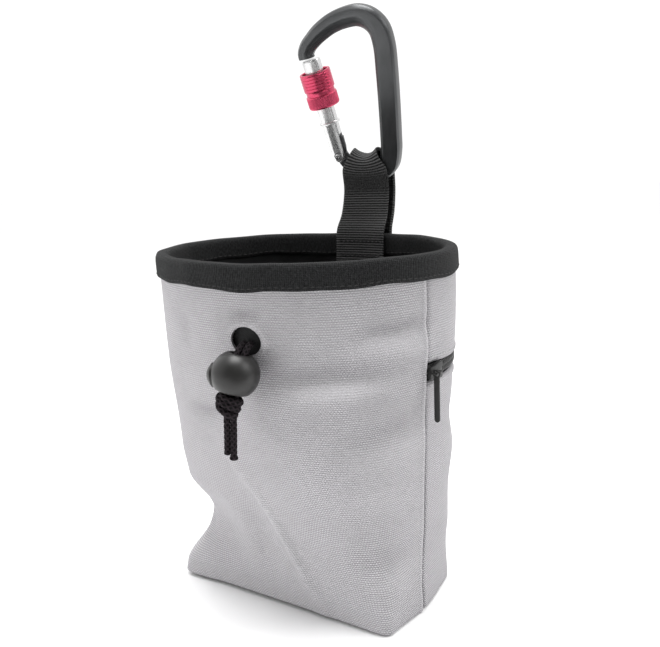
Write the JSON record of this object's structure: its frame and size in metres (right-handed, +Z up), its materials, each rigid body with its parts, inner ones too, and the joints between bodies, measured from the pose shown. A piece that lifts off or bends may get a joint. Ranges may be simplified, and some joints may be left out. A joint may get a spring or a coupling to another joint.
{
  "type": "dog treat pouch",
  "caption": "Open-topped canvas treat pouch with a bound rim, zipped back pocket, drawcord with ball toggle, and a screw-gate carabiner on a webbing loop.",
  "frame": {"origin": "centre of the flat base on the surface that the pouch stands on", "axes": "+Z up through the open mouth, -Y out of the front with the toggle, +X to the side where the zip starts"},
  "size_m": [0.1311, 0.1316, 0.2475],
  "materials": {
    "canvas": "pale grey woven canvas with a fine dotted weave, matte",
    "lining": "dark wrinkled nylon with a slight sheen",
    "binding": "charcoal ribbed binding tape, matte",
    "zip_tape": "black woven zip tape",
    "zip_teeth": "dark grey nylon coil",
    "zip_metal": "gunmetal lacquer",
    "webbing": "black ribbed nylon webbing",
    "dark_alloy": "dark grey anodised aluminium, satin",
    "silver": "polished bare aluminium",
    "crimson": "crimson anodised aluminium with fine knurling",
    "toggle_plastic": "dark grey moulded plastic, finely textured",
    "cord": "black braided round cord with melted ends"
  },
  "bodies": {
    "root": {"front_panel": "canvas", "back_panel_lower": "canvas", "back_panel_upper": "canvas", "base_panel": "canvas", "lining": "lining", "rim_binding": "binding", "zip_tape": "zip_tape", "zip_teeth": "zip_teeth", "zip_slider": "zip_metal", "webbing_loop": "webbing", "carabiner_body": "dark_alloy", "gate_pin": "silver", "toggle_ball": "toggle_plastic", "cord_knot": "cord", "drawcord_left": "cord", "drawcord_right": "cord"},
    "gate": {"carabiner_gate": "silver"},
    "sleeve": {"gate_sleeve": "crimson"},
    "pull": {"zip_pull": "zip_metal"},
    "button": {"toggle_button": "toggle_plastic"}
  },
  "joints": [
    {"name": "gate_hinge", "type": "hinge", "parent": "root", "child": "gate", "pos_m": [-0.01065, 0.04806, 0.18674], "axis": [-0.1632, 0.9254, 0.342], "range_deg": [0, 20], "stiffness_Nm_per_rad": 0.02, "springref_deg": -20.05},
    {"name": "sleeve_slide", "type": "slide", "parent": "gate", "child": "sleeve", "axis": [-0.0731, -0.3571, 0.9312], "range_m": [-0.006, 0.0085]},
    {"name": "pull_swing", "type": "hinge", "parent": "root", "child": "pull", "pos_m": [0.06455, -0.00599, 0.10404], "axis": [-0.0663, -0.9978, 0], "range_deg": [0, 150]},
    {"name": "button_press", "type": "slide", "parent": "root", "child": "button", "axis": [0.9274, 0.3733, 0.024], "range_m": [0, 0.0018], "stiffness_N_per_m": 60, "springref_m": -0.004}
  ]
}
